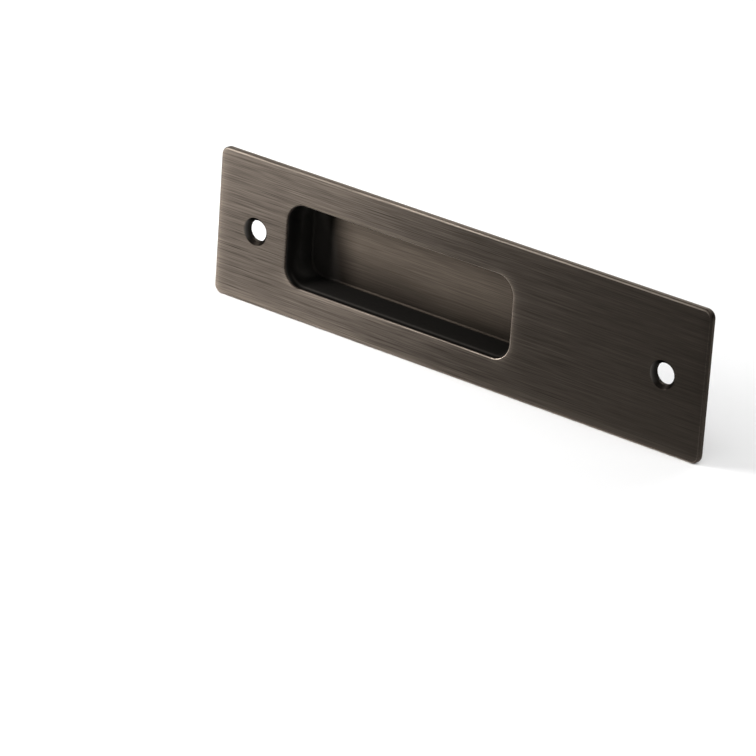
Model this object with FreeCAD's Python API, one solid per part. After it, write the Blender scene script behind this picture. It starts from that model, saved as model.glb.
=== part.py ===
import FreeCAD, Part
import math
import os

# Flush pull for a sliding door: one casting, a flat plate with a sunk finger recess and two
# screw holes. The plate stands on its long edge as it does on the bench: +X along its
# length, +Z up, and the face that the hand meets looks towards -Y. The origin lies on the
# seat, the flat back of the plate that bears on the door, midway between the screw holes.

# Plate
plate_length = 179.5
plate_height = 47.0
plate_thickness = 2.3
plate_corner_radius = 2.7
face_edge_radius = 0.8
seat_edge_radius = 0.6

# Finger recess, measured on the face
recess_length = 84.2
recess_height = 26.3
recess_corner_radius = 6.2
recess_from_end = 26.7
recess_depth = 12.0
recess_draft_degrees = 3.0
recess_rim_radius = 0.4
recess_floor_radius = 0.8

# Cup, the shell that carries the recess through the door's mortise
cup_wall = 1.8
cup_floor_thickness = 1.8
cup_edge_radius = 1.6
cup_root_radius = 0.6

# Screw holes, countersunk from the face
screw_pitch = 150.0
screw_bore_diameter = 6.6
screw_mouth_diameter = 8.8
countersink_degrees = 90.0

# Length by which a cutting tool runs past the surface that it opens
overrun = 1.0

# Distance within which an edge counts as lying in a plane
tolerance = 0.001

FORWARD = FreeCAD.Vector(0, -1, 0)
BACKWARD = FreeCAD.Vector(0, 1, 0)

face_y = -plate_thickness
recess_floor_y = face_y + recess_depth
cup_back_y = recess_floor_y + cup_floor_thickness
recess_centre_x = -plate_length / 2 + recess_from_end + recess_length / 2
draft_slope = math.tan(math.radians(recess_draft_degrees))


def rounded_outline(centre_x, y, length, height, radius):
    """Closed outline of a rounded rectangle that stands in the plane at this y."""
    left = centre_x - length / 2
    right = centre_x + length / 2
    top = height / 2
    bottom = -top
    corners = [
        (right - radius, top - radius, 0),
        (left + radius, top - radius, 90),
        (left + radius, bottom + radius, 180),
        (right - radius, bottom + radius, 270),
    ]

    def on_arc(corner_x, corner_z, degrees):
        angle = math.radians(degrees)
        return FreeCAD.Vector(corner_x + radius * math.cos(angle), y, corner_z + radius * math.sin(angle))

    edges = []
    for index, (corner_x, corner_z, start) in enumerate(corners):
        arc_points = [on_arc(corner_x, corner_z, start + turn) for turn in (0, 45, 90)]
        edges.append(Part.Arc(*arc_points).toShape())
        next_x, next_z, next_start = corners[(index + 1) % len(corners)]
        edges.append(Part.LineSegment(arc_points[2], on_arc(next_x, next_z, next_start)).toShape())
    return Part.Wire(edges)


def drafted_block(near_y, far_y, length, height, radius):
    """Block round the recess centre whose sides draw in by the draft from near_y to far_y."""
    inset = (far_y - near_y) * draft_slope
    near = rounded_outline(recess_centre_x, near_y, length, height, radius)
    far = rounded_outline(recess_centre_x, far_y, length - 2 * inset, height - 2 * inset, radius - inset)
    return Part.makeLoft([near, far], True, True)


def edges_in_plane(shape, y, reach_limit=plate_height):
    """Edges that lie in the plane at this y and reach no higher or lower than the limit."""
    found = []
    for edge in shape.Edges:
        box = edge.BoundBox
        if max(abs(box.YMin - y), abs(box.YMax - y)) > tolerance:
            continue
        if max(abs(vertex.Z) for vertex in edge.Vertexes) < reach_limit:
            found.append(edge)
    return found


def make_plate():
    """Flat plate between its face and its seat, with both edges eased all round."""
    outline = rounded_outline(0, 0, plate_length, plate_height, plate_corner_radius)
    plate = Part.Face(outline).extrude(FORWARD * plate_thickness)
    plate = plate.makeFillet(face_edge_radius, edges_in_plane(plate, face_y))
    return plate.makeFillet(seat_edge_radius, edges_in_plane(plate, 0))


def make_cup():
    """Outside of the cup, sunk into the plate so that the two join, with its far edge rounded."""
    start_y = face_y / 2
    outset = cup_wall - (start_y - face_y) * draft_slope
    cup = drafted_block(
        start_y,
        cup_back_y,
        recess_length + 2 * outset,
        recess_height + 2 * outset,
        recess_corner_radius + outset,
    )
    return cup.makeFillet(cup_edge_radius, edges_in_plane(cup, cup_back_y))


def make_recess():
    """Hollow of the finger recess, from just before the face down to its rounded floor edge."""
    outset = overrun * draft_slope
    recess = drafted_block(
        face_y - overrun,
        recess_floor_y,
        recess_length + 2 * outset,
        recess_height + 2 * outset,
        recess_corner_radius + outset,
    )
    return recess.makeFillet(recess_floor_radius, edges_in_plane(recess, recess_floor_y))


def make_screw_hole(x):
    """Tool for one screw hole: a bore right through with a cone at its mouth."""
    bore_radius = screw_bore_diameter / 2
    mouth_radius = screw_mouth_diameter / 2
    cone_slope = math.tan(math.radians(countersink_degrees / 2))
    cone_length = (mouth_radius - bore_radius) / cone_slope + overrun
    start = FreeCAD.Vector(x, face_y - overrun, 0)
    bore = Part.makeCylinder(bore_radius, plate_thickness + 2 * overrun, start, BACKWARD)
    cone = Part.makeCone(mouth_radius + overrun * cone_slope, bore_radius, cone_length, start, BACKWARD)
    return bore.fuse(cone)


def make_pull_plate():
    """The whole pull as one solid: the screw holes come last, so each edge is rounded by itself."""
    pull = make_plate().fuse(make_cup()).removeSplitter()
    cup_reach = recess_height / 2 + cup_wall
    pull = pull.makeFillet(cup_root_radius, edges_in_plane(pull, 0, cup_reach))
    pull = pull.cut(make_recess())
    rim_reach = recess_height / 2 + tolerance
    pull = pull.makeFillet(recess_rim_radius, edges_in_plane(pull, face_y, rim_reach))
    for side in (-1, 1):
        pull = pull.cut(make_screw_hole(side * screw_pitch / 2))
    return pull


def export(shape, node):
    """Writes one node after checking that it is a single valid solid."""
    if not shape.isValid() or len(shape.Solids) != 1:
        raise RuntimeError(node + " isn't one valid solid")
    shape.Solids[0].exportStep("parts/" + node + ".step")
    box = shape.optimalBoundingBox(False)
    print(node, round(box.XLength, 2), round(box.YLength, 2), round(box.ZLength, 2), round(shape.Volume, 1))


os.makedirs("parts", exist_ok=True)
export(make_pull_plate(), "pull_plate")
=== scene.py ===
"""A flush pull for a sliding door, dressed as brushed antique bronze in a small white studio.

The pull is one casting: a flat plate with a sunk finger recess and two countersunk screw
holes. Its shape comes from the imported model, which stays as it is. This script gives the
casting its plated and brushed finish, stands it on a white floor on its long edge, and looks
at it from the side where the face, the recess and the screw holes all show.

Sizes are in metres. Seen from the front, x runs to the right along the pull, y away from the
viewer into the door, and z up.
"""

import logging
import math
from dataclasses import dataclass
from enum import Enum

import bpy
from mathutils import Matrix, Vector


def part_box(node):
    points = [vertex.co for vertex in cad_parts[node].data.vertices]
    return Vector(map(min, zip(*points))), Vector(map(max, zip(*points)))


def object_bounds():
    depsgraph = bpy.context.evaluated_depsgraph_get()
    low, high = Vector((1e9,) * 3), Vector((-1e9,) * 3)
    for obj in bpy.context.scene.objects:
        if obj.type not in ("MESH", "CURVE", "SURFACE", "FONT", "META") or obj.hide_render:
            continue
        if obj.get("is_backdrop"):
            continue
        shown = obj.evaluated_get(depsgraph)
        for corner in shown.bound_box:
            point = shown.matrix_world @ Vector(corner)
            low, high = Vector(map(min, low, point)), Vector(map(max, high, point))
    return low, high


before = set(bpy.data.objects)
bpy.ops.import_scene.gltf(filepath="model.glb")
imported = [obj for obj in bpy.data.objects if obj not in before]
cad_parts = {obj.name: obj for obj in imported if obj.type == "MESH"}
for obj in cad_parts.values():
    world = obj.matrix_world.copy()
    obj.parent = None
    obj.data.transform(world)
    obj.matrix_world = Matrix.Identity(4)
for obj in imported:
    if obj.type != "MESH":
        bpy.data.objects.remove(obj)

LOG = logging.getLogger("sliding_door_pull")
MM = 0.001
MICRON = 0.001 * MM

Socket = bpy.types.NodeSocket
Term = Socket | float
Colour = tuple[float, float, float]
# Where something starts and where it is complete, or how much of it there is at two ends.
Span = tuple[float, float]


class Seen(Enum):
    """Kinds of ray that look at a surface rather than carry its light on to others."""

    DIRECTLY = "Is Camera Ray"
    IN_METAL = "Is Glossy Ray"
    THROUGH_GLASS = "Is Transmission Ray"


class Board:
    """A node tree on which a finish is laid out, with short ways to add and join nodes."""

    def __init__(self, tree: bpy.types.NodeTree) -> None:
        """Takes over the node tree of a material or of the world, and empties it."""
        tree.nodes.clear()
        self.tree = tree

    def add(
        self, kind: str, inputs: dict[str | int, object] | None = None, **settings: object
    ) -> bpy.types.Node:
        """Adds one node.

        Args:
            kind: Blender's name for the node's type.
            inputs: What goes into its sockets, by name or number. Sockets are joined and
                plain values are set.
            settings: Properties of the node itself.

        Returns:
            The node.
        """
        node = self.tree.nodes.new(kind)
        for name, value in settings.items():
            setattr(node, name, value)
        for key, value in (inputs or {}).items():
            if isinstance(value, Socket):
                self.tree.links.new(value, node.inputs[key])
            else:
                node.inputs[key].default_value = value
        return node

    def sum(self, operation: str, *values: Term) -> Socket:
        """Works out one sum, by Blender's name for it, from sockets and numbers in order."""
        return self.add("ShaderNodeMath", dict(enumerate(values)), operation=operation).outputs[0]

    def product(self, *factors: Term) -> Term:
        """Multiplies sockets and numbers together.

        Args:
            factors: The factors, at least one.

        Returns:
            Their product.
        """
        result = factors[0]
        for factor in factors[1:]:
            result = self.sum("MULTIPLY", result, factor)
        return result

    def rest_of(self, share: Socket) -> Socket:
        """What a share leaves of the whole: one less the share."""
        return self.sum("SUBTRACT", 1.0, share)

    def lift(self, share: Socket, amount: Term) -> Socket:
        """Makes a factor that rises from one, or falls, by a share of an amount."""
        return self.sum("MULTIPLY_ADD", share, amount, 1.0)

    def remap(self, value: Socket, source: Span, target: Span) -> Socket:
        """Carries a value smoothly from one range, given from low to high, to another."""
        inputs = {0: value, 1: source[0], 2: source[1], 3: target[0], 4: target[1]}
        return self.add("ShaderNodeMapRange", inputs, interpolation_type="SMOOTHSTEP").outputs[0]

    def fade(self, value: Socket, reach: Span) -> Socket:
        """Fades in from nought at one end of the reach to one at the other, up or down."""
        target = (0.0, 1.0) if reach[0] < reach[1] else (1.0, 0.0)
        return self.remap(value, (min(reach), max(reach)), target)

    def decay(self, distance: Socket, reach: float) -> Socket:
        """Falls away from one at no distance to about a third at the reach."""
        return self.sum("EXPONENT", self.sum("DIVIDE", distance, -reach))

    def blend(self, share: Socket, first: Socket | Colour, second: Socket | Colour) -> Socket:
        """Mixes two colours.

        Args:
            share: How much of the second colour shows.
            first: The colour where the share is nought.
            second: The colour where the share is one.

        Returns:
            The mixed colour.
        """
        ends = [end if isinstance(end, Socket) else (*end, 1.0) for end in (first, second)]
        inputs = {"Factor": share, "A": ends[0], "B": ends[1]}
        return self.add("ShaderNodeMix", inputs, data_type="RGBA").outputs["Result"]

    def tint(self, colour: Socket | Colour, factor: Socket) -> Socket:
        """Makes a colour lighter or darker by a factor."""
        inputs = {0: colour, "Scale": factor}
        return self.add("ShaderNodeVectorMath", inputs, operation="SCALE").outputs[0]

    def length(self, first: Socket, second: Socket) -> Socket:
        """Works out how long a line is from its extent in two directions."""
        line = self.add("ShaderNodeCombineXYZ", {0: first, 1: second}).outputs[0]
        return self.add("ShaderNodeVectorMath", {0: line}, operation="LENGTH").outputs["Value"]


@dataclass(frozen=True)
class Outline:
    """A rounded rectangle on the face, level with the pull's middle."""

    centre_x: float
    length: float
    height: float
    radius: float

    @property
    def left(self) -> float:
        """Where the left end lies along the pull."""
        return self.centre_x - self.length / 2

    @property
    def half_length(self) -> float:
        """How far the ends lie from the middle."""
        return self.length / 2

    @property
    def half_height(self) -> float:
        """How far the top and the bottom lie from the middle."""
        return self.height / 2

    def distance(self, board: Board, x: Socket, z: Socket) -> Socket:
        """Works out how far each point lies outside the outline.

        Args:
            board: The board of the finish.
            x: Each point's place along the pull.
            z: Each point's height.

        Returns:
            The distance, below nought inside the outline.
        """
        along = board.sum("ABSOLUTE", board.sum("SUBTRACT", x, self.centre_x))
        past_end = board.sum("SUBTRACT", along, self.half_length - self.radius)
        past_side = board.sum("SUBTRACT", board.sum("ABSOLUTE", z), self.half_height - self.radius)
        reach = board.length(
            board.sum("MAXIMUM", past_end, 0.0), board.sum("MAXIMUM", past_side, 0.0)
        )
        within = board.sum("MINIMUM", board.sum("MAXIMUM", past_end, past_side), 0.0)
        return board.sum("SUBTRACT", board.sum("ADD", reach, within), self.radius)


@dataclass(frozen=True)
class Survey:
    """What the board knows of each point: where it lies and which way its surface faces.

    x, y and z are the point's place. endways, frontward and upward are its surface's facing
    to the right, to the viewer and up. off_edge, off_rim and off_floor are its distances
    outside the outlines of the plate, of the recess on the face and of the recess's floor.
    off_middle and off_left are its distances to the right of the recess's middle and of its
    floor's left end, and depth is its distance behind the face. deep is one in the far half
    of the recess's depth, and raised is one everywhere else.
    """

    place: Socket
    x: Socket
    y: Socket
    z: Socket
    endways: Socket
    frontward: Socket
    upward: Socket
    off_edge: Socket
    off_rim: Socket
    off_floor: Socket
    off_middle: Socket
    off_left: Socket
    depth: Socket
    deep: Socket
    raised: Socket


@dataclass(frozen=True)
class Casting:
    """The outlines and levels at which the casting's finish changes."""

    plate: Outline
    recess: Outline
    recess_floor: Outline
    face_y: float
    recess_depth: float
    hole_reach: float
    hole_radius: float
    edge_radius: float

    def survey(self, board: Board) -> Survey:
        """Puts the surface's own measures on the board.

        Args:
            board: The board of the finish.

        Returns:
            The measures.
        """
        place = board.add("ShaderNodeTexCoord").outputs["Object"]
        x, y, z = board.add("ShaderNodeSeparateXYZ", {0: place}).outputs
        facing = board.add("ShaderNodeNewGeometry").outputs["Normal"]
        endways, inward, upward = board.add("ShaderNodeSeparateXYZ", {0: facing}).outputs
        depth = board.sum("SUBTRACT", y, self.face_y)
        deep = board.sum("GREATER_THAN", depth, self.recess_depth / 2)
        return Survey(
            place=place,
            x=x,
            y=y,
            z=z,
            endways=endways,
            frontward=board.sum("MULTIPLY", inward, -1.0),
            upward=upward,
            off_edge=self.plate.distance(board, x, z),
            off_rim=self.recess.distance(board, x, z),
            off_floor=self.recess_floor.distance(board, x, z),
            off_middle=board.sum("SUBTRACT", x, self.recess.centre_x),
            off_left=board.sum("SUBTRACT", x, self.recess_floor.left),
            depth=depth,
            deep=deep,
            raised=board.rest_of(deep),
        )


@dataclass(frozen=True)
class Hollows:
    """The walls of the recess and of the screw holes, where the brushing wheel can't reach."""

    steep: Span = (0.70, 0.30)
    sunk: Span = (0.20 * MM, 0.70 * MM)
    inside: Span = (0.35 * MM, -0.05 * MM)
    hole_edge: Span = (0.05 * MM, -0.15 * MM)
    # Where a hole's wall faces up, the patina thins as a painted highlight.
    hole_highlight_turn: Span = (0.2, 0.9)
    highlight_share: float = 0.58

    def find(self, board: Board, at: Survey, casting: Casting) -> Socket:
        """Finds the surfaces that keep the dark patina.

        Args:
            board: The board of the finish.
            at: The survey of the casting.
            casting: The casting.

        Returns:
            One in the hollows, less where a hole's wall faces up and shows a painted highlight of
            bare metal, nought elsewhere.
        """
        wall = board.product(
            board.fade(board.sum("ABSOLUTE", at.frontward), self.steep),
            board.fade(at.depth, self.sunk),
            board.fade(at.off_rim, self.inside),
        )
        along = board.sum("SUBTRACT", board.sum("ABSOLUTE", at.x), casting.hole_reach)
        past_mouth = board.sum("SUBTRACT", board.length(along, at.z), casting.hole_radius)
        # Less patina on the upward-facing wall of a hole: a painted highlight.
        hole = board.product(
            board.fade(past_mouth, self.hole_edge),
            board.remap(at.upward, self.hole_highlight_turn, (1.0, self.highlight_share)),
        )
        return board.sum("MAXIMUM", wall, hole)


@dataclass(frozen=True)
class Back:
    """The seat and the outside of the cup, which are plated but not brushed."""

    seat: Span = (-0.5 * MM, -0.1 * MM)
    round_cup: Span = (0.5 * MM, 1.0 * MM)
    cup_end: Span = (0.2 * MM, 0.5 * MM)

    def find(self, board: Board, at: Survey, casting: Casting) -> Socket:
        """Finds the back.

        Args:
            board: The board of the finish.
            at: The survey of the casting.
            casting: The casting.

        Returns:
            One on the back, nought on what the hand meets.
        """
        behind = board.product(board.fade(at.y, self.seat), board.fade(at.off_rim, self.round_cup))
        past_floor = board.sum("SUBTRACT", at.depth, casting.recess_depth)
        return board.sum("MAXIMUM", behind, board.fade(past_floor, self.cup_end))


@dataclass(frozen=True)
class WearAndEdgeHighlight:
    """The rounded edges: plating worn down to a lighter metal, laid on also as painted edge
    highlight, less where they face right or down and more towards the right.
    """

    leaves_face: Span = (0.99, 0.90)
    meets_side: Span = (0.45, 0.85)
    # Painted edge highlight: less on edges that face right or down.
    right_side: Span = (0.4, 0.1)
    under_side: Span = (-0.4, 0.0)
    under_share: float = 0.35
    edge_margin: float = 0.2 * MM
    rim_depth: Span = (0.40 * MM, 0.20 * MM)
    # Painted edge highlight: less at the left end, more towards the right.
    reach: Span = (-50 * MM, 92 * MM)
    left_share: float = 0.10

    def find(self, board: Board, at: Survey, casting: Casting) -> Socket:
        """Finds the worn edges and their painted edge highlight.

        Args:
            board: The board of the finish.
            at: The survey of the casting.
            casting: The casting.

        Returns:
            One on the worn and highlighted edges, nought on the flats.
        """
        radius = casting.edge_radius
        near_edge = board.fade(at.off_edge, (-radius - self.edge_margin, -radius))
        near_rim = board.product(
            board.fade(at.off_rim, (radius, 0.0)), board.fade(at.depth, self.rim_depth)
        )
        return board.product(
            board.fade(at.frontward, self.leaves_face),
            board.fade(at.frontward, self.meets_side),
            board.fade(at.endways, self.right_side),
            board.remap(at.upward, self.under_side, (self.under_share, 1.0)),
            board.remap(at.x, self.reach, (self.left_share, 1.0)),
            board.sum("MAXIMUM", near_edge, near_rim),
        )


@dataclass(frozen=True)
class BrushMarks:
    """One layer of marks that a brushing wheel leaves along the length of the work."""

    length: float
    width: float
    tone: float
    depth: float
    seed: float
    hardness: float = 1.0
    detail: float = 2.0

    def lay(self, board: Board, place: Socket) -> Socket:
        """Draws the marks.

        Args:
            board: The board of the finish.
            place: Each point's place on the work.

        Returns:
            A value about nought, from the deepest mark at -1 to the highest ridge at 1.
        """
        stretch = (1 / self.length, 1 / self.width, 1 / self.width)
        start = (self.seed, -self.seed, self.seed / 2)
        moved = board.add(
            "ShaderNodeMapping", {"Vector": place, "Scale": stretch, "Location": start}
        )
        grain = board.add(
            "ShaderNodeTexNoise", {"Vector": moved.outputs[0], "Scale": 1.0, "Detail": self.detail}
        )
        # The noise runs from nought to one, so it is centred and doubled before it is cut off.
        centred = board.sum("SUBTRACT", grain.outputs[0], 0.5)
        ridge = board.sum("MULTIPLY", centred, 2.0 * self.hardness)
        return board.sum("MAXIMUM", board.sum("MINIMUM", ridge, 1.0), -1.0)


@dataclass(frozen=True)
class Brushing:
    """All the brush marks: broad bands, then finer and shorter marks, fainter to the right."""

    layers: tuple[BrushMarks, ...] = (
        BrushMarks(length=70 * MM, width=3.5 * MM, tone=0.10, depth=0.0, seed=5.3),
        BrushMarks(length=45 * MM, width=0.7 * MM, tone=0.35, depth=3.0 * MICRON, seed=11.7),
        BrushMarks(
            length=28 * MM,
            width=0.30 * MM,
            tone=0.50,
            depth=1.5 * MICRON,
            seed=29.3,
            hardness=1.5,
        ),
        BrushMarks(length=11 * MM, width=0.21 * MM, tone=0.41, depth=0.0, seed=47.9, hardness=1.7),
    )
    reach: Span = (-20 * MM, 80 * MM)
    strength: Span = (1.08, 0.55)
    floor_strength: float = 0.55

    def lay(self, board: Board, at: Survey, open_to_wheel: Socket) -> tuple[Socket, Socket]:
        """Draws all the marks.

        Args:
            board: The board of the finish.
            at: The survey of the casting.
            open_to_wheel: One where the wheel reaches the surface, nought elsewhere.

        Returns:
            The factor on the plating's tone, and the marks' height.
        """
        strength = board.product(
            board.lift(at.deep, self.floor_strength - 1.0),
            open_to_wheel,
            board.remap(at.x, self.reach, self.strength),
        )
        tone: Term = 1.0
        height: Term = 0.0
        for layer in self.layers:
            grain = board.product(layer.lay(board, at.place), strength)
            tone = board.sum("MULTIPLY_ADD", grain, layer.tone, tone)
            height = board.sum("MULTIPLY_ADD", grain, layer.depth, height)
        return tone, height


@dataclass(frozen=True)
class PaintedSheen:
    """A soft-edged part of the face painted a little lighter or darker, as painted sheen and
    painted shade.
    """

    along: Span
    tone: float
    up: Span | None = None

    def lay(self, board: Board, at: Survey) -> Socket:
        """Works out the factor of painted light on the plating's tone.

        Args:
            board: The board of the finish.
            at: The survey of the casting.

        Returns:
            One outside the part, the part's tone well inside it.
        """
        inside = board.fade(at.x, self.along)
        if self.up:
            inside = board.product(inside, board.fade(at.z, self.up))
        return board.lift(inside, self.tone - 1.0)


@dataclass(frozen=True)
class PaintedPlateLight:
    """How light the plate's face and sides are painted from place to place, left to right, low to
    high: painted highlight and painted shade.

    The painted sheens run along the face. The painted glows lie on the long edges and on the two
    ends, each as the amount at the low or left one and at the high or right one.
    """

    # Painted sheen and painted shade in soft patches along the face.
    painted_sheens: tuple[PaintedSheen, ...] = (
        PaintedSheen(along=(-15 * MM, 12 * MM), tone=0.91),
        PaintedSheen(along=(45 * MM, 70 * MM), tone=1.07),
        PaintedSheen(along=(20 * MM, 95 * MM), tone=0.76),
        PaintedSheen(along=(-40 * MM, -15 * MM), up=(3 * MM, -12 * MM), tone=0.945),
        PaintedSheen(along=(15 * MM, 62 * MM), up=(3 * MM, -12 * MM), tone=1.14),
        PaintedSheen(along=(-62 * MM, -86 * MM), up=(10 * MM, 19 * MM), tone=0.94),
        PaintedSheen(along=(-55 * MM, -38 * MM), up=(9 * MM, 16 * MM), tone=1.045),
        PaintedSheen(along=(-16 * MM, 2 * MM), up=(9 * MM, 16 * MM), tone=0.965),
    )
    # Painted highlight along the long edges, more at the bottom.
    painted_edge_glow: Span = (0.85, 0.30)
    edge_fade: float = 1.2 * MM
    # Painted highlight on the left end, painted shade on the right end.
    painted_end_glow: Span = (0.75, -0.40)
    end_fade: float = 1.8 * MM
    # Painted light on the top and right sides, more towards the right.
    painted_side_tone: Span = (1.0, 1.65)
    side_zone: Span = (-2.0 * MM, -1.0 * MM)
    side_turn: Span = (0.72, 0.95)
    # Painted highlight low on the face and along its bottom edge.
    painted_foot_glow: float = 0.12
    painted_toe_glow: float = 0.30
    toe_height: float = 5 * MM

    def near_edge(self, board: Board, at: Survey) -> Socket:
        """How near each point is to the plate's outline: one on it, fading to both sides."""
        return board.decay(board.sum("ABSOLUTE", at.off_edge), self.edge_fade)

    def paint_edge_light(self, board: Board, at: Survey, plate: Outline) -> Socket:
        """Paints highlight and shade on the plate's outer edges, ends and long sides.

        Args:
            board: The board of the finish.
            at: The survey of the casting.
            plate: The plate's outline.

        Returns:
            The factor on the plating's tone.
        """
        whole_length = (-plate.half_length, plate.half_length)
        whole_height = (-plate.half_height, plate.half_height)
        on_side = board.product(
            board.fade(at.off_edge, self.side_zone),
            board.fade(board.sum("ABSOLUTE", at.upward), self.side_turn),
        )
        painted_side_lift = tuple(tone - 1.0 for tone in self.painted_side_tone)
        from_end = board.sum("SUBTRACT", plate.half_length, board.sum("ABSOLUTE", at.x))
        return board.product(
            board.lift(on_side, board.remap(at.x, whole_length, painted_side_lift)),
            board.lift(self.near_edge(board, at), board.remap(at.z, whole_height, self.painted_edge_glow)),
            board.lift(
                board.decay(from_end, self.end_fade),
                board.remap(at.x, whole_length, self.painted_end_glow),
            ),
        )

    def lay(self, board: Board, at: Survey, plate: Outline) -> Socket:
        """Works out the whole painted light and shade of the plate.

        Args:
            board: The board of the finish.
            at: The survey of the casting.
            plate: The plate's outline.

        Returns:
            The factor on the plating's tone.
        """
        # The painted sheen and shade lie on the face only.
        sheen = board.product(*(part.lay(board, at) for part in self.painted_sheens))
        bottom = -plate.half_height
        return board.product(
            self.paint_edge_light(board, at, plate),
            board.sum("MULTIPLY_ADD", sheen, at.raised, at.deep),
            # Painted highlight towards the foot of the plate.
            board.remap(at.z, (bottom, 0.0), (1.0 + self.painted_foot_glow, 1.0)),
            board.remap(at.z, (bottom, bottom + self.toe_height), (1.0 + self.painted_toe_glow, 1.0)),
        )


@dataclass(frozen=True)
class PaintedRimHighlight:
    """The painted highlights on the face round the recess: a narrow band, and a wider one below."""

    fade: float = 1.0 * MM
    right_glow: Span = (0.25, 1.1)
    top_glow: float = 0.35
    low_glow: Span = (0.68, 0.50)
    low_fade: float = 2.2 * MM
    low_start: Span = (0.2 * MM, 0.6 * MM)
    low_end: Span = (35 * MM, 15 * MM)

    def near_rim(self, board: Board, at: Survey) -> Socket:
        """How near each point is to the recess: one inside it, fading outwards."""
        return board.decay(board.sum("MAXIMUM", at.off_rim, 0.0), self.fade)

    def lay(self, board: Board, at: Survey, recess: Outline) -> Socket:
        """Works out the painted highlight round the recess.

        Args:
            board: The board of the finish.
            at: The survey of the casting.
            recess: The recess's outline on the face.

        Returns:
            The factor on the plating's tone.
        """
        end, top = recess.half_length, recess.half_height
        # Painted highlight along the rim, more to the right and at the top.
        right = board.remap(at.off_middle, (end / 2, end), self.right_glow)
        high = board.remap(at.z, (top / 2, top), (0.0, self.top_glow))
        narrow_glow = board.product(board.sum("ADD", right, high), at.raised)
        # A wider painted highlight on the face below the recess.
        below = board.product(
            board.decay(board.sum("MAXIMUM", at.off_rim, 0.0), self.low_fade),
            board.fade(at.off_rim, self.low_start),
            board.fade(at.z, (-top / 2, -top)),
        )
        wide_glow = board.product(
            board.remap(at.off_middle, (-end, end), self.low_glow),
            board.fade(at.off_middle, self.low_end),
        )
        return board.product(
            board.lift(self.near_rim(board, at), narrow_glow), board.lift(below, wide_glow)
        )


@dataclass(frozen=True)
class PaintedFloorLight:
    """The painted fall of light on the recess's floor: painted shade by the walls and to the lower
    left, painted light rising to the right.
    """

    # Painted shade by the walls, to the left, low down and in the lower left corner; painted light
    # rising to the right.
    wall_shade: float = 0.75
    wall_fade: float = 2.5 * MM
    lift: Span = (1.05, 1.60)
    left_shade: float = 0.78
    left_reach: Span = (7.0 * MM, 18.6 * MM)
    left_slant: float = 0.22
    low_shade: float = 0.43
    low_reach: Span = (2.5 * MM, 12 * MM)
    crease_turn: Span = (0.15, 0.5)
    crease_tone: float = 0.55
    corner_shade: float = 0.25
    corner_rise: Span = (3 * MM, -4 * MM)
    corner_reach: Span = (-8 * MM, -32 * MM)

    def lay(self, board: Board, at: Survey, floor: Outline) -> Socket:
        """Works out the painted light and shade of the floor and the painted highlight on the
        crease at the foot of the lower wall.

        Args:
            board: The board of the finish.
            at: The survey of the casting.
            floor: The outline of the recess's floor.

        Returns:
            The factor on the plating's tone, one outside the recess.
        """
        from_wall = board.sum("MAXIMUM", board.sum("MULTIPLY", at.off_floor, -1.0), 0.0)
        from_left = board.sum("MULTIPLY_ADD", at.z, self.left_slant, at.off_left)
        from_low = board.sum("ADD", at.z, floor.half_height)
        flat = board.product(
            board.lift(board.decay(from_wall, self.wall_fade), -self.wall_shade),
            board.remap(at.off_middle, (-floor.half_length, floor.half_length), self.lift),
            board.remap(from_low, self.low_reach, (1.0 - self.low_shade, 1.0)),
        )
        # The crease faces up and keeps a lighter tone: a painted highlight.
        crease = board.fade(at.upward, self.crease_turn)
        level = board.add("ShaderNodeMix", {"Factor": crease, "A": flat, "B": self.crease_tone})
        corner = board.product(
            board.fade(at.z, self.corner_rise), board.fade(at.x, self.corner_reach)
        )
        shade = board.product(
            level.outputs["Result"],
            board.remap(from_left, self.left_reach, (1.0 - self.left_shade, 1.0)),
            board.lift(corner, -self.corner_shade),
        )
        return board.lift(at.deep, board.sum("SUBTRACT", shade, 1.0))


@dataclass(frozen=True)
class PaintedShadowSheet:
    """A painted shadow: a dull brown matt sheet where the shade is deepest, on the left end of the
    recess's floor.
    """

    # The painted shadow's colour, and how much of the metal's gloss it takes away.
    colour: Colour = (0.0165, 0.0150, 0.0135)
    matt: float = 0.85
    reach: Span = (10.2 * MM, 4.0 * MM)
    slant: float = 0.22
    # The painted shadow is lighter towards its edge, which softens it.
    edge_reach: Span = (4.5 * MM, 8.5 * MM)
    edge_slant: float = 0.50
    edge_tone: float = 2.1

    def find(self, board: Board, at: Survey) -> Socket:
        """How strongly the painted shadow lies: one by the left wall, fading out to the right."""
        from_left = board.sum("MULTIPLY_ADD", at.z, self.slant, at.off_left)
        return board.product(at.deep, board.fade(from_left, self.reach))

    def tone(self, board: Board, at: Survey) -> Socket:
        """Works out the painted shadow's colour, which is lighter towards its edge.

        Args:
            board: The board of the finish.
            at: The survey of the casting.

        Returns:
            The colour.
        """
        from_left = board.sum("MULTIPLY_ADD", at.z, self.edge_slant, at.off_left)
        factor = board.remap(from_left, self.edge_reach, (1.0, self.edge_tone))
        return board.tint(self.colour, factor)


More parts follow.
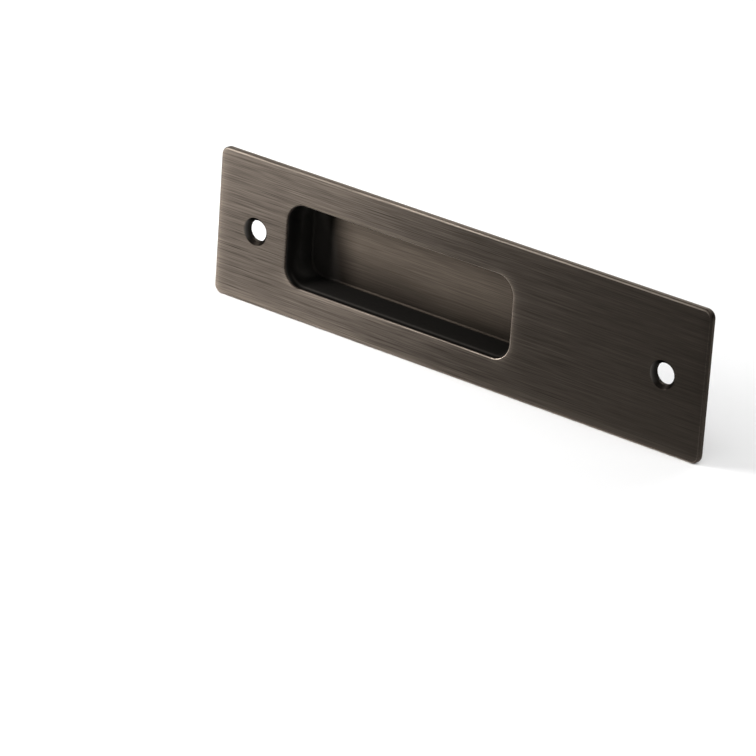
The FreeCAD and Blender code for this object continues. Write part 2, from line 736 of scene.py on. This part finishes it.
@dataclass(frozen=True)
class Patina:
    """The dark patina in the hollows, with painted glints and painted shade on the recess's walls.

    All the walls are painted darker just below the rim. The lower wall, which faces up, has a soft
    painted highlight line below that.
    The left wall, which faces right, has a painted highlight on its lip and is painted lighter
    towards its foot.
    """

    colour: Colour = (0.0090, 0.0083, 0.0075)
    roughness: float = 0.50
    metallic: float = 0.4
    # Painted shade just below the rim.
    rim_shadow: float = 0.06
    shadow_start: float = 0.3 * MM
    # A soft painted highlight line on the lower wall, at this depth.
    line_depth: float = 2.25 * MM
    line_width: float = 0.55 * MM
    line_lift: float = 2.6
    lower_wall: Span = (0.3, 0.9)
    left_wall: Span = (0.3, 0.8)
    # A painted highlight on the left wall's lip, and painted light towards its foot.
    left_lip: float = 15.0
    left_lip_fade: float = 0.5 * MM
    foot_lift: float = 2.0
    foot_reach: Span = (2 * MM, 9 * MM)

    def tone(self, board: Board, at: Survey) -> Socket:
        """Works out the patina's colour, with its painted glints and painted shade.

        Args:
            board: The board of the finish.
            at: The survey of the casting.

        Returns:
            The colour.
        """
        from_line = board.sum(
            "DIVIDE", board.sum("SUBTRACT", at.depth, self.line_depth), self.line_width
        )
        bell = board.sum("EXPONENT", board.product(from_line, from_line, -1.0))
        line = board.product(bell, board.fade(at.upward, self.lower_wall))
        depths = (self.shadow_start, self.line_depth)
        # Painted shade below the rim, then painted glints on the walls.
        painted_light = board.remap(at.depth, depths, (self.rim_shadow, 1.0))
        painted_light = board.sum("MULTIPLY_ADD", line, self.line_lift, painted_light)
        on_left = board.fade(at.endways, self.left_wall)
        lip = board.product(board.decay(at.depth, self.left_lip_fade), on_left)
        painted_light = board.sum("MULTIPLY_ADD", lip, self.left_lip, painted_light)
        foot = board.product(board.fade(at.depth, self.foot_reach), on_left)
        painted_light = board.sum("MULTIPLY_ADD", foot, self.foot_lift, painted_light)
        return board.tint(self.colour, painted_light)


@dataclass(frozen=True)
class BrushedBronze:
    """Dark antique bronze plating, brushed lengthwise on the flats and left dark in the hollows,
    with painted highlights and shade laid over it.
    """

    casting: Casting
    slot: str = "brushed_bronze"
    face: Colour = (0.0446, 0.0371, 0.0308)
    recess_floor: Colour = (0.0450, 0.0366, 0.0292)
    unbrushed: Colour = (0.0460, 0.0390, 0.0330)
    # The lighter metal of the worn edges, which also carries a painted edge highlight.
    worn_and_lit: Colour = (0.390, 0.335, 0.280)
    grazing: Colour = (0.92, 0.85, 0.78)
    roughness: float = 0.34
    worn_roughness: float = 0.50
    anisotropy: float = 1.0
    roll_off: float = 0.07 * MM
    end_turn: Span = (0.5, 0.8)
    hollows: Hollows = Hollows()
    back: Back = Back()
    wear_and_highlight: WearAndEdgeHighlight = WearAndEdgeHighlight()
    brushing: Brushing = Brushing()
    painted_plate_light: PaintedPlateLight = PaintedPlateLight()
    painted_rim_highlight: PaintedRimHighlight = PaintedRimHighlight()
    painted_floor_light: PaintedFloorLight = PaintedFloorLight()
    painted_shadow_sheet: PaintedShadowSheet = PaintedShadowSheet()
    patina: Patina = Patina()

    def lay_tone(self, board: Board, at: Survey, brushed_tone: Socket) -> Socket:
        """Brings together the brush marks and the painted highlights and shade that make the
        plating lighter or darker.

        Args:
            board: The board of the finish.
            at: The survey of the casting.
            brushed_tone: The factor that the brush marks give.

        Returns:
            The factor on the plating's colour.
        """
        return board.product(
            brushed_tone,
            self.painted_plate_light.lay(board, at, self.casting.plate),
            self.painted_rim_highlight.lay(board, at, self.casting.recess),
            self.painted_floor_light.lay(board, at, self.casting.recess_floor),
        )

    def round_edges(self, board: Board, at: Survey, height: Socket) -> Socket:
        """Lets the brushed face roll off towards the plate's edge and the recess's rim.

        Args:
            board: The board of the finish.
            at: The survey of the casting.
            height: The brush marks' height.

        Returns:
            The height with the roll-off.
        """
        near = board.sum(
            "MAXIMUM", self.painted_plate_light.near_edge(board, at), self.painted_rim_highlight.near_rim(board, at)
        )
        return board.sum("MULTIPLY_ADD", board.product(near, at.raised), -self.roll_off, height)

    def run_brush(self, board: Board, at: Survey, back: Socket) -> Socket:
        """Gives the direction of the brushing, which the gloss is stretched across.

        Args:
            board: The board of the finish.
            at: The survey of the casting.
            back: One on the back, nought on what the hand meets.

        Returns:
            The direction: lengthwise, or upright on the back where it faces endways.
        """
        lengthwise, upright = (
            board.add("ShaderNodeTangent", direction_type="RADIAL", axis=axis).outputs[0]
            for axis in ("X", "Z")
        )
        endwise = board.fade(board.sum("ABSOLUTE", at.endways), self.end_turn)
        share = board.product(endwise, back)
        # Sockets 4 and 5 and output 1 are the mix node's vectors.
        mix = board.add(
            "ShaderNodeMix", {"Factor": share, 4: lengthwise, 5: upright}, data_type="VECTOR"
        )
        return mix.outputs[1]

    def make(self) -> bpy.types.Material:
        """Lays the finish out.

        Returns:
            The material.
        """
        material = bpy.data.materials.new("antique_bronze_brushed")
        material.use_nodes = True
        board = Board(material.node_tree)
        at = self.casting.survey(board)
        hollow = self.hollows.find(board, at, self.casting)
        back = self.back.find(board, at, self.casting)
        # Worn edges, which are also a painted edge highlight.
        worn_and_lit = self.wear_and_highlight.find(board, at, self.casting)
        # The painted shadow on the left end of the recess's floor.
        in_painted_shadow = self.painted_shadow_sheet.find(board, at)

        open_to_wheel = board.product(board.rest_of(hollow), board.rest_of(back))
        brushed_tone, marks_height = self.brushing.lay(board, at, open_to_wheel)
        plating = board.blend(at.deep, self.face, self.recess_floor)
        metal = board.blend(worn_and_lit, plating, self.worn_and_lit)
        # Brush marks, with painted light and shade on the plate, round the rim and on the floor.
        metal = board.tint(metal, self.lay_tone(board, at, brushed_tone))
        metal = board.blend(in_painted_shadow, metal, self.painted_shadow_sheet.tone(board, at))
        metal = board.blend(back, metal, self.unbrushed)
        metal = board.blend(hollow, metal, self.patina.tone(board, at))

        bare_roughness = board.remap(worn_and_lit, (0.0, 1.0), (self.roughness, self.worn_roughness))
        roughness = board.add(
            "ShaderNodeMix", {"Factor": hollow, "A": bare_roughness, "B": self.patina.roughness}
        )
        # The painted shadow is matt where it lies open.
        open_painted_shadow = board.product(in_painted_shadow, board.rest_of(board.sum("MAXIMUM", back, hollow)))
        metallic = board.product(
            board.remap(hollow, (0.0, 1.0), (1.0, self.patina.metallic)),
            board.lift(open_painted_shadow, -self.painted_shadow_sheet.matt),
        )
        bump = board.add(
            "ShaderNodeBump",
            {
                "Height": self.round_edges(board, at, marks_height),
                "Distance": 1.0,
                "Strength": 1.0,
            },
        )
        surface = board.add(
            "ShaderNodeBsdfPrincipled",
            {
                "Base Color": metal,
                "Metallic": metallic,
                "Roughness": roughness.outputs["Result"],
                "Specular IOR Level": 0.0,
                "Specular Tint": (*self.grazing, 1.0),
                "Anisotropic": self.anisotropy,
                "Tangent": self.run_brush(board, at, back),
                "Normal": bump.outputs[0],
            },
        )
        board.add("ShaderNodeOutputMaterial", {"Surface": surface.outputs[0]})
        return material


@dataclass
class PullPlate:
    """The casting: plate, finger recess and cup in one piece."""

    node: str = "pull_plate"
    corner_radius: float = 2.7 * MM
    edge_radius: float = 0.8 * MM
    recess_from_end: float = 26.7 * MM
    recess_length: float = 84.2 * MM
    recess_height: float = 26.3 * MM
    recess_corner_radius: float = 6.2 * MM
    recess_depth: float = 12.0 * MM
    recess_draft_degrees: float = 3.0
    screw_pitch: float = 150.0 * MM
    screw_mouth: float = 8.8 * MM

    def plan_finish(self) -> BrushedBronze:
        """Works out from the casting's sizes where its finish changes.

        Returns:
            The finish.
        """
        low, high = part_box(self.node)
        recess_x = low.x + self.recess_from_end + self.recess_length / 2
        inset = self.recess_depth * math.tan(math.radians(self.recess_draft_degrees))
        casting = Casting(
            plate=Outline(
                centre_x=(low.x + high.x) / 2,
                length=high.x - low.x,
                height=high.z - low.z,
                radius=self.corner_radius,
            ),
            recess=Outline(
                centre_x=recess_x,
                length=self.recess_length,
                height=self.recess_height,
                radius=self.recess_corner_radius,
            ),
            recess_floor=Outline(
                centre_x=recess_x,
                length=self.recess_length - 2 * inset,
                height=self.recess_height - 2 * inset,
                radius=self.recess_corner_radius - inset,
            ),
            face_y=low.y,
            recess_depth=self.recess_depth,
            hole_reach=self.screw_pitch / 2,
            hole_radius=self.screw_mouth / 2,
            edge_radius=self.edge_radius,
        )
        return BrushedBronze(casting)

    def dress(self) -> bpy.types.Object:
        """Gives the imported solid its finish.

        Returns:
            The dressed piece.
        """
        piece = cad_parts[self.node]
        finish = self.plan_finish()
        material = finish.make()
        for place in piece.material_slots:
            place.material = material
        return piece


@dataclass(frozen=True)
class WhitePaper:
    """The floor's paper: pale to the lamps, and full white where it is looked at."""

    pale: float = 0.8

    def make(self) -> bpy.types.Material:
        """Lays the finish out.

        Returns:
            The material.
        """
        material = bpy.data.materials.new("white_paper")
        material.use_nodes = True
        board = Board(material.node_tree)
        rays = board.add("ShaderNodeLightPath")
        looked_at: Term = 0.0
        for kind in Seen:
            looked_at = board.sum("MAXIMUM", rays.outputs[kind.value], looked_at)
        white = board.sum("MULTIPLY_ADD", looked_at, 1.0 - self.pale, self.pale)
        paper = board.add("ShaderNodeBsdfDiffuse", {"Color": white})
        board.add("ShaderNodeOutputMaterial", {"Surface": paper.outputs[0]})
        return material


@dataclass(frozen=True)
class Softbox:
    """A soft lamp: an evenly lit panel that faces the pull from a bearing and an elevation.

    A bearing of 0 is in front of the pull, 90 to its left and 180 behind it.
    """

    name: str
    bearing: float
    elevation: float
    distance: float
    width: float
    height: float
    radiance: float

    def direction(self) -> Vector:
        """Works out which way the panel lies from the pull.

        Returns:
            The direction, one long.
        """
        turn, rise = math.radians(self.bearing), math.radians(self.elevation)
        level = math.cos(rise)
        return Vector((-math.sin(turn) * level, -math.cos(turn) * level, math.sin(rise)))

    def hang(self) -> bpy.types.Object:
        """Puts the lamp in its place.

        Returns:
            The lamp.
        """
        data = bpy.data.lights.new(self.name, "AREA")
        data.shape = "RECTANGLE"
        data.size = self.width
        data.size_y = self.height
        data.energy = self.radiance * math.pi * self.width * self.height
        lamp = bpy.data.objects.new(self.name, data)
        bpy.context.scene.collection.objects.link(lamp)
        outward = self.direction()
        lamp.location = outward * self.distance
        lamp.rotation_mode = "QUATERNION"
        lamp.rotation_quaternion = outward.to_track_quat("Z", "Y")
        lamp.visible_camera = False
        return lamp


@dataclass
class Studio:
    """A white floor, an even room and soft lamps."""

    floor_size: float = 12.0
    paper: WhitePaper = WhitePaper()
    room: float = 0.10
    lamps: tuple[Softbox, ...] = (
        Softbox(
            name="key_softbox",
            bearing=56.8,
            elevation=16.7,
            distance=0.4375,
            width=0.30,
            height=0.31,
            radiance=9.6,
        ),
        Softbox(
            name="edge_softbox",
            bearing=62,
            elevation=50,
            distance=1.2,
            width=0.42,
            height=0.35,
            radiance=3.6,
        ),
        Softbox(
            name="front_softbox",
            bearing=2,
            elevation=26,
            distance=1.2,
            width=0.70,
            height=0.50,
            radiance=1.5,
        ),
        Softbox(
            name="back_softbox",
            bearing=165,
            elevation=25,
            distance=1.2,
            width=1.3,
            height=0.6,
            radiance=3.4,
        ),
        Softbox(
            name="top_softbox",
            bearing=300,
            elevation=60,
            distance=1.2,
            width=0.8,
            height=0.8,
            radiance=3.2,
        ),
        Softbox(
            name="side_softbox",
            bearing=270,
            elevation=35,
            distance=1.2,
            width=0.8,
            height=0.6,
            radiance=1.6,
        ),
    )

    def lay_floor(self, height: float) -> bpy.types.Object:
        """Lays the floor under the pull.

        Args:
            height: How high the floor lies.

        Returns:
            The floor.
        """
        half = self.floor_size / 2
        sides = [(-half, -half), (half, -half), (half, half), (-half, half)]
        corners = [(x, y, height) for x, y in sides]
        mesh = bpy.data.meshes.new("floor")
        mesh.from_pydata(corners, [], [range(len(corners))])
        mesh.materials.append(self.paper.make())
        floor = bpy.data.objects.new("floor", mesh)
        bpy.context.scene.collection.objects.link(floor)
        floor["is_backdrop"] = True
        return floor

    def light_room(self) -> None:
        """Fills the room with even light."""
        world = bpy.data.worlds.new("room")
        bpy.context.scene.world = world
        world.use_nodes = True
        board = Board(world.node_tree)
        air = board.add(
            "ShaderNodeBackground", {"Color": (1.0, 1.0, 1.0, 1.0), "Strength": self.room}
        )
        board.add("ShaderNodeOutputWorld", {"Surface": air.outputs[0]})

    def build(self, floor_height: float) -> None:
        """Sets the whole studio up.

        Args:
            floor_height: How high the floor lies.
        """
        floor = self.lay_floor(floor_height)
        LOG.info("laid %s at %.4f m", floor.name, floor_height)
        self.light_room()
        for softbox in self.lamps:
            LOG.info("hung %s", softbox.hang().name)


@dataclass(frozen=True)
class PhotographView:
    """The photograph's viewing angle: what the camera aims at, how it is turned and its lens.

    The angles are in degrees. The lens and the sensor are in millimetres, as cameras have them.
    """

    aim: tuple[float, float, float] = (-25.32 * MM, -2.34 * MM, -31.97 * MM)
    azimuth: float = 37.09
    elevation: float = 22.42
    roll: float = 4.01
    distance: float = 1.51
    lens: float = 243.2
    sensor: float = 36.0

    def place(self) -> bpy.types.Object:
        """Stands the camera in its place.

        Returns:
            The camera.
        """
        data = bpy.data.cameras.new("camera")
        data.lens = self.lens
        data.sensor_width = self.sensor
        camera = bpy.data.objects.new("camera", data)
        bpy.context.scene.collection.objects.link(camera)
        angles = (self.azimuth, self.elevation, self.roll)
        turn, tilt, roll = (math.radians(angle) for angle in angles)
        facing = (
            Matrix.Rotation(turn, 4, "Z")
            @ Matrix.Rotation(math.pi / 2 - tilt, 4, "X")
            @ Matrix.Rotation(roll, 4, "Z")
        )
        back_off = Matrix.Translation((0, 0, self.distance))
        camera.matrix_world = Matrix.Translation(self.aim) @ facing @ back_off
        bpy.context.scene.camera = camera
        return camera


def main() -> None:
    """Dresses the pull, sets the studio up around it and places the camera."""
    logging.basicConfig(level=logging.INFO, format="%(message)s")
    frame_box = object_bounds()
    bpy.context.scene.view_settings.view_transform = "Standard"

    piece = PullPlate().dress()
    LOG.info("dressed %s", piece.name)
    Studio().build(floor_height=frame_box[0].z)
    camera = PhotographView().place()
    LOG.info("camera at %s", tuple(round(c, 4) for c in camera.matrix_world.translation))


if __name__ == "__main__":
    main()
